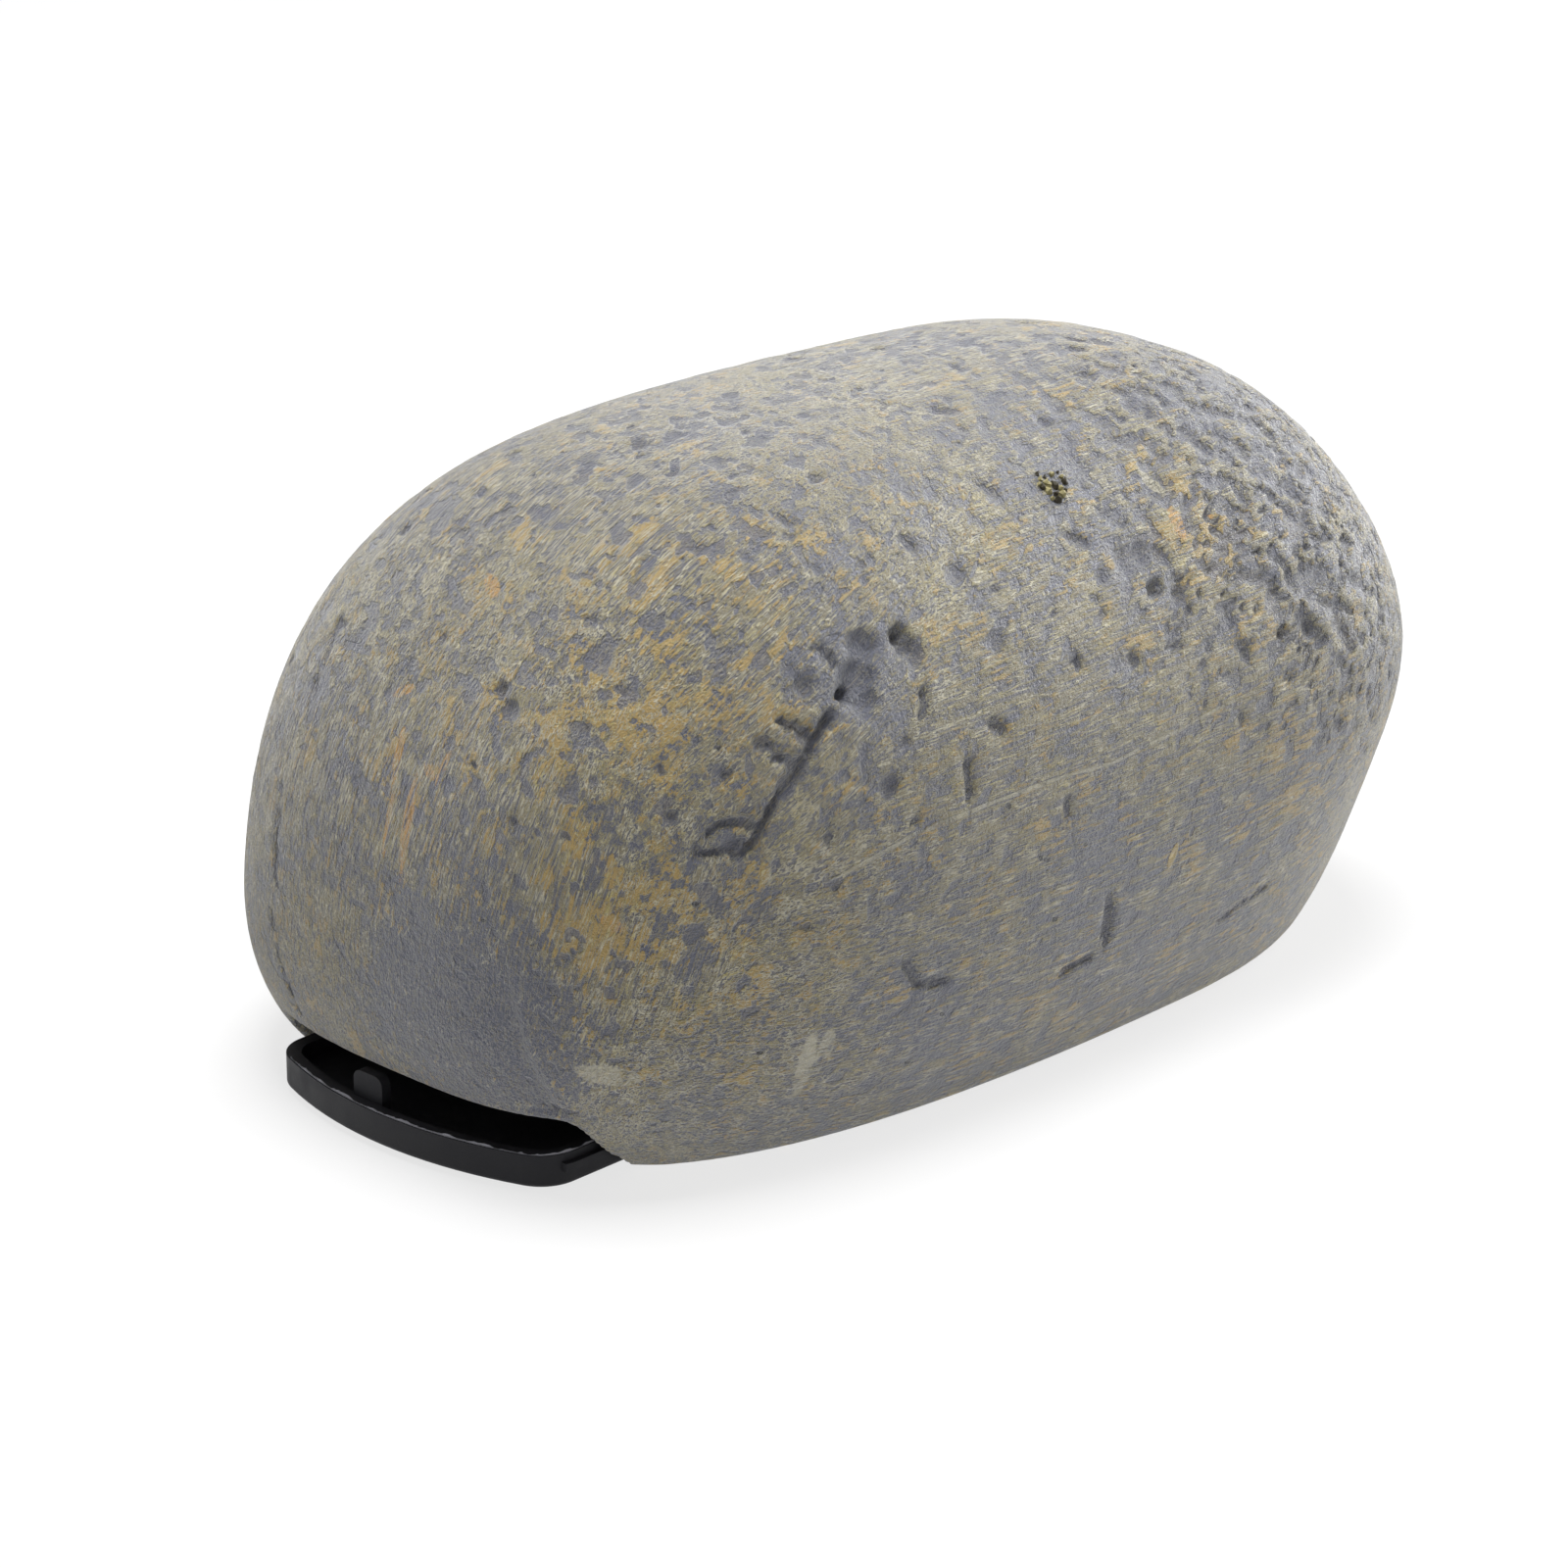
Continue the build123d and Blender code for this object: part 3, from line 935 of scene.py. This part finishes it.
def painted_resin():
    """Blue-grey resin, dry-brushed with olive, ochre and orange."""
    g = Graph("painted_resin")
    where = g.place()
    grit = g.noise(where, GRIT_SIZE, 3, 0.7)
    streaks = brush_strokes(g, where, STREAK_SIZE, STREAK_LONGER)
    bristles = brush_strokes(g, where, BRISTLE_SIZE, BRISTLE_LONGER, 1)
    torn = g.noise(where, TORN_SIZE, 5, 0.65)
    patches = g.noise(where, PATCH_SIZE, 3, 0.5)
    ragged = g.total((g.math("SUBTRACT", grit, 0.5), 0.8), (g.math("SUBTRACT", torn, 0.5), 0.6))
    hollow = g.step(g.total((g.attribute("recess"), 1), (ragged, 1)), 0.35, 0.5)

    # The film of paint: torn patches high up, and level streaks low down.
    height_up = g.add("ShaderNodeSeparateXYZ", {0: where}).outputs["Z"]
    high_up = g.step(height_up, 0.012, 0.030)
    torn_body = g.total((streaks, 0.32), (torn, 0.7))
    brushed_body = g.total((streaks, 0.8), (torn, 0.24))
    body = g.add("ShaderNodeMix", {0: high_up, 2: brushed_body, 3: torn_body}).outputs[0]
    body = g.total((body, 1), (patches, 0.35), (g.attribute("cover"), 1.0))
    film_cover = g.step(g.total((body, 1), (grit, 0.12)), 0.70, 0.72)
    film_cover = g.math("MULTIPLY", film_cover, g.step(hollow, 0, 1, 1, 0.1))
    thickness = g.step(g.total((bristles, 0.6), (grit, 0.4)), 0.40, 0.58, 0.2, 1)

    # Ochre over the film, orange where it is warmest, and single bristle marks.
    warm_spots = g.noise(where, 3.0, 4, 0.65)
    warmth = g.total((warm_spots, 0.6), (streaks, 0.5), (g.attribute("warm"), 0.25))
    ochre_cover = g.step(g.total((warmth, 1), (grit, 0.12)), 0.655, 0.70, 0, 0.85)
    ochre_cover = g.math("MULTIPLY", ochre_cover, film_cover)
    orange_cover = g.math("MULTIPLY", g.step(warmth, 0.76, 0.86), ochre_cover)
    orange_marks = g.marks(where, ORANGE_STROKES, ragged)
    orange_marks = g.math("MULTIPLY", orange_marks, g.step(bristles, 0.38, 0.46, 0, 0.85))
    orange_cover = g.math("MAXIMUM", orange_cover, orange_marks)
    fibres = g.thin(bristles, FIBRE_WIDTH)
    fibrous = g.step(g.total((body, 0.6), (torn, 0.5)), 0.60, 0.68, 0.3, 1)
    fibres = g.math("MULTIPLY", fibres, fibrous)
    fibres = g.math("MULTIPLY", fibres, g.step(hollow, 0, 1, 0.9, 0.3))

    # Marks that stand at their own places in the photograph.
    pale_cover = g.math("MULTIPLY", g.marks(where, PALE_STROKES, ragged), g.step(torn, 0.35, 0.5))
    ridge = g.marks(where, LONG_RIDGE, g.math("MULTIPLY", ragged, 0.6))
    ridge = g.math("MULTIPLY", ridge, g.step(torn, 0.35, 0.45))
    leaf = g.marks(where, LEAF, g.math("MULTIPLY", ragged, 0.1))
    # Pinhole spots, painted near black as the shade inside the holes, and pressed in by the bump.
    pinhole_shade = g.marks(where, PINHOLES, g.math("MULTIPLY", ragged, 0.3))

    resin = g.blend(g.noise(where, 9.0, 2), RESIN, BLUE_RESIN)
    resin = g.blend(g.step(grit, 0.3, 0.7, 0, 0.35), resin, RESIN_GRIT)
    film = g.blend(g.step(g.noise(where, 2.2, 4, 0.7), 0.35, 0.65), FILM, DRY_FILM)
    colour = g.blend(g.math("MULTIPLY", film_cover, thickness), resin, film)
    colour = g.blend(ochre_cover, colour, OCHRE)
    colour = g.blend(orange_cover, colour, ORANGE)
    fibre_colour = g.blend(g.step(torn, 0.4, 0.6), OLIVE, PALE)
    colour = g.blend(g.math("MULTIPLY", fibres, 0.95), colour, fibre_colour)
    colour = g.blend(g.math("MULTIPLY", pale_cover, 0.8), colour, PALE)
    colour = g.blend(g.math("MULTIPLY", ridge, 0.6), colour, PALE)
    colour = g.blend(leaf, colour, GOLD)
    # Painted shade: the pinholes go near black.
    colour = g.blend(pinhole_shade, colour, PINHOLE_SHADE)
    g.feed(g.shader.inputs["Base Color"], colour)
    g.feed(g.shader.inputs["Roughness"], g.step(film_cover, 0, 1, 0.42, 0.58))
    g.shader.inputs["Sheen Weight"].default_value = 0.8
    g.shader.inputs["Sheen Roughness"].default_value = 0.4

    paint_height = ((film_cover, 0.3), (ochre_cover, 0.2), (fibres, 0.25))
    grain_height = ((grit, 0.5), (torn, 0.5), (streaks, 0.3))
    height = g.total(*paint_height, *grain_height)
    height = g.total((height, 1), (hollow, -0.5), (ridge, 0.5), (leaf, 0.5), (pinhole_shade, -0.6))
    bump = g.add("ShaderNodeBump", {"Height": height, "Strength": 1.0, "Distance": BUMP_DEPTH})
    g.feed(g.shader.inputs["Normal"], bump.outputs[0])
    return g.material


CLOUD_SIZE = 3.0
CLOUD_ROUGHNESS = 0.08
PLASTIC_SHINE = 0.2
PLASTIC_GRAIN = 0.15
PLASTIC_BUMP = 0.00005


def moulded_plastic(name, colour, cloudy, roughness):
    """Moulded plastic with a fine grain, its colour clouded by another."""
    g = Graph(name)
    where = g.place()
    cloud = g.noise(where, CLOUD_SIZE, 3)
    g.feed(g.shader.inputs["Base Color"], g.blend(cloud, colour, cloudy))
    least, most = roughness - CLOUD_ROUGHNESS, roughness + CLOUD_ROUGHNESS
    g.feed(g.shader.inputs["Roughness"], g.step(cloud, 0.3, 0.7, least, most))
    g.shader.inputs["Specular IOR Level"].default_value = PLASTIC_SHINE
    grain = g.noise(where, PLASTIC_GRAIN, 2)
    bump = g.add("ShaderNodeBump", {"Height": grain, "Strength": 0.3, "Distance": PLASTIC_BUMP})
    g.feed(g.shader.inputs["Normal"], bump.outputs[0])
    return g.material


def dress(made, material):
    """Gives the whole object one material."""
    made.data.materials.clear()
    made.data.materials.append(material)


dress(rock, painted_resin())
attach(rock, "rock")
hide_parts("rock_shell")

# --- the torn flash left along the rim of the tray's front and right side ---
TRAY_FRONT = -49.4
TRAY_RIM = 3.05
TRAY_HALF = 15.3
FRONT_ARC_RADIUS = 37.0
FRONT_CORNER_RADIUS = 3.5
FLASH_END = -40.5
FLASH_STEP = 0.2
FLASH_INSET = 0.12
FLASH_THICKNESS = 0.08
FLASH_LOW = 0.04
FLASH_HIGH = 0.26
FLASH_FOOT = 0.1  # how deep it stands in the rim
FLASH_RAG = 2.4  # length of its tears
FLASH_LEVEL = 0.45
FLASH_TILT = 0.5


def flash_path():
    """Places along the tray's bowed front, right corner and right side, each with the way out."""
    reach = FRONT_ARC_RADIUS - FRONT_CORNER_RADIUS
    corner_y = TRAY_HALF - FRONT_CORNER_RADIUS
    widest = asin(corner_y / reach)
    front_middle = Vector((TRAY_FRONT + FRONT_ARC_RADIUS, 0))
    corner_middle = Vector((front_middle.x - sqrt(reach**2 - corner_y**2), -corner_y))
    path = []
    for middle, radius, start, end in (
        (front_middle, FRONT_ARC_RADIUS, widest, -widest),
        (corner_middle, FRONT_CORNER_RADIUS, -widest, -pi / 2),
    ):
        for angle in np.arange(start, end, -FLASH_STEP / radius):
            outward = Vector((-cos(angle), sin(angle)))
            path.append((middle + radius * outward, outward))
    for x in np.arange(corner_middle.x, FLASH_END, FLASH_STEP):
        path.append((Vector((x, -TRAY_HALF)), Vector((0, -1))))
    return path


def rim_flash():
    """A thin upright strip of plastic with a torn top edge."""
    points, faces = [], []
    for count, (spot, outward) in enumerate(flash_path()):
        along = count * FLASH_STEP
        rag = noise.fractal(Vector((0, along / FLASH_RAG, SEED)), 0.6, 2.0, 5)
        high = FLASH_LOW + (FLASH_HIGH - FLASH_LOW) * min(1, max(0, FLASH_LEVEL + rag))
        tilt = FLASH_THICKNESS * FLASH_TILT * noise.noise(Vector((along, 0, SEED)))
        for inset in (FLASH_INSET, FLASH_INSET + FLASH_THICKNESS):
            foot = spot - inset * outward
            top = foot - tilt * outward
            points.append((foot.x, foot.y + SLIDE_CENTRE, TRAY_RIM - FLASH_FOOT))
            points.append((top.x, top.y + SLIDE_CENTRE, TRAY_RIM + high))
        if count:
            last, this = 4 * count - 4, 4 * count
            faces.append((last, last + 1, this + 1, this))
            faces.append((last + 1, last + 3, this + 3, this + 1))
            faces.append((last + 3, last + 2, this + 2, this + 3))
    return new_object("rim_flash", np.array(points) * MM, faces)


# Each plastic's two tones, and its roughness.
FLASH_PLASTIC = (tone(86, 86, 92), tone(190, 190, 198), 0.5)
TRAY_PLASTIC = (tone(26, 26, 29), tone(40, 40, 44), 0.55)
BOX_PLASTIC = (tone(20, 20, 22), tone(34, 34, 38), 0.6)

flash = rim_flash()
dress(flash, moulded_plastic("flash_plastic", *FLASH_PLASTIC))
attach(flash, "tray")

# --- a few crumbs of dirt stuck to the top ---
CRUMB_PLACES = [(1058, 484), (1061, 489), (1066, 487), (1072, 484), (1079, 482), (1083, 487)]
CRUMB_PLACES += [(1086, 492), (1082, 498), (1076, 495), (1069, 494), (1064, 497), (1070, 501)]
CRUMB_PLACES += [(1077, 504), (1083, 505), (1080, 511), (1074, 509), (1087, 500), (1060, 494)]
CRUMB_LOW = 0.12
CRUMB_HIGH = 0.38
CRUMB_RAG = 0.9
CRUMB_ROUGHNESS = 0.6


def crumb_pile(name, pixels):
    """Small ragged lumps, one at each pixel, in one mesh."""
    lumpy = bmesh.new()
    for pixel in pixels:
        radius = CRUMB_LOW + (CRUMB_HIGH - CRUMB_LOW) * chance.random()
        made = bmesh.ops.create_icosphere(lumpy, subdivisions=2, radius=radius)
        middle = Vector(place(pixel))
        for vertex in made["verts"]:
            rag = noise.noise_vector(vertex.co / radius + middle)
            vertex.co = vertex.co + rag * radius * CRUMB_RAG + middle
            vertex.co *= MM
    mesh = bpy.data.meshes.new(name)
    lumpy.to_mesh(mesh)
    lumpy.free()
    pile = bpy.data.objects.new(name, mesh)
    bpy.context.scene.collection.objects.link(pile)
    return pile


# Each pile takes every second place, from its first, and has two tones.
DIRT = [
    ("dark_crumbs", 0, tone(24, 22, 20), tone(78, 72, 54)),
    ("pale_crumbs", 1, tone(128, 120, 84), tone(170, 162, 120)),
]
for name, first, colour, cloudy in DIRT:
    pile = crumb_pile(name, CRUMB_PLACES[first::2])
    dress(pile, moulded_plastic(name, colour, cloudy, CRUMB_ROUGHNESS))
    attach(pile, "rock")

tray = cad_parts["slide_tray"]
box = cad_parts["key_box"]
tray.material_slots[0].material = moulded_plastic("tray_plastic", *TRAY_PLASTIC)
box.material_slots[0].material = moulded_plastic("black_plastic", *BOX_PLASTIC)


# ---------------------------------------------------------------- stage, light and camera

FLOOR_SIZE = 3000.0
FLOOR_DROP = 0.05
FLOOR_WHITE = tone(240, 240, 240)
GLOW_NEAR = 0.75  # share of plain white near the rock: the rest is lit floor, with the shadow
GLOW_REACH = (0.15, 0.5)  # metres over which that share rises to all
GLOW_BOUNCE = 0.5  # share of it that lights the rock from below
WORLD_LIGHT = 0.08
CLIP_START = 0.01
CLIP_END = 10


def make_floor():
    """A white floor that keeps a soft shadow and is clear from below."""
    half = FLOOR_SIZE / 2 * MM
    corners = [(-half, -half, 0), (half, -half, 0), (half, half, 0), (-half, half, 0)]
    floor = new_object("floor", corners, [(0, 1, 2, 3)])
    floor.location.z = -FLOOR_DROP * MM
    g = Graph("floor_white")
    g.feed(g.shader.inputs["Base Color"], FLOOR_WHITE)
    g.feed(g.shader.inputs["Roughness"], 0.9)
    rays = g.add("ShaderNodeLightPath").outputs
    seen = g.math("ADD", rays["Is Camera Ray"], rays["Is Glossy Ray"])
    seen = g.math("ADD", seen, rays["Is Transmission Ray"])
    reach = g.add("ShaderNodeVectorMath", {0: g.place()}, operation="LENGTH").outputs["Value"]
    seen = g.math("MULTIPLY", g.step(seen, 0, 1), g.step(reach, *GLOW_REACH, GLOW_NEAR, 1))
    seen = g.math("MAXIMUM", seen, GLOW_BOUNCE)
    glow = g.add("ShaderNodeEmission", {"Color": (1, 1, 1, 1), "Strength": 1.0})
    mixed = g.add("ShaderNodeMixShader", {0: seen, 1: g.shader.outputs[0], 2: glow.outputs[0]})
    below = g.add("ShaderNodeNewGeometry").outputs["Backfacing"]
    clear = g.add("ShaderNodeBsdfTransparent")
    final = g.add("ShaderNodeMixShader", {0: below, 1: mixed.outputs[0], 2: clear.outputs[0]})
    output = g.tree.nodes["Material Output"]
    g.feed(output.inputs["Surface"], final.outputs[0])
    dress(floor, g.material)


def make_world(strength):
    """White all round: plain light on the object, and white where it is seen."""
    world = bpy.data.worlds.new("white")
    bpy.context.scene.world = world
    world.use_nodes = True
    nodes, links = world.node_tree.nodes, world.node_tree.links
    nodes.clear()
    rays = nodes.new("ShaderNodeLightPath").outputs
    seen = rays["Is Camera Ray"]
    for name in ("Is Glossy Ray", "Is Transmission Ray"):
        total = nodes.new("ShaderNodeMath")
        links.new(seen, total.inputs[0])
        links.new(rays[name], total.inputs[1])
        seen = total.outputs[0]
    level = nodes.new("ShaderNodeMapRange")
    links.new(seen, level.inputs["Value"])
    level.inputs["To Min"].default_value = strength
    level.inputs["To Max"].default_value = 1.0
    light = nodes.new("ShaderNodeBackground")
    light.inputs["Color"].default_value = (1, 1, 1, 1)
    links.new(level.outputs[0], light.inputs["Strength"])
    output = nodes.new("ShaderNodeOutputWorld")
    links.new(light.outputs[0], output.inputs["Surface"])


def make_lamp(name, place_mm, aim_mm, size_mm, watts):
    """A square soft lamp that points at a place."""
    data = bpy.data.lights.new(name, "AREA")
    data.shape = "SQUARE"
    data.size = size_mm * MM
    data.energy = watts
    lamp = bpy.data.objects.new(name, data)
    bpy.context.scene.collection.objects.link(lamp)
    lamp.location = Vector(place_mm) * MM
    away = Vector(aim_mm) - Vector(place_mm)
    lamp.rotation_euler = away.to_track_quat("-Z", "Y").to_euler()


def make_camera():
    """The photograph's own camera."""
    data = bpy.data.cameras.new("photo_camera")
    data.sensor_width = SENSOR_WIDTH
    data.lens = SENSOR_WIDTH * FOCAL_PIXELS / PHOTO_SIZE
    data.clip_start = CLIP_START
    data.clip_end = CLIP_END
    camera = bpy.data.objects.new("photo_camera", data)
    bpy.context.scene.collection.objects.link(camera)
    camera.location = CAMERA_PLACE * MM
    camera.rotation_euler = CAMERA_FORWARD.to_track_quat("-Z", "Y").to_euler()
    bpy.context.scene.camera = camera


make_floor()
make_world(WORLD_LIGHT)
make_lamp("overhead", place_mm=(20, 30, 600), aim_mm=(0, 0, 20), size_mm=300, watts=5.2)
make_lamp("right", place_mm=(480, -60, 120), aim_mm=(20, 0, 20), size_mm=300, watts=2.6)
make_camera()
bpy.context.scene.view_settings.view_transform = "Standard"
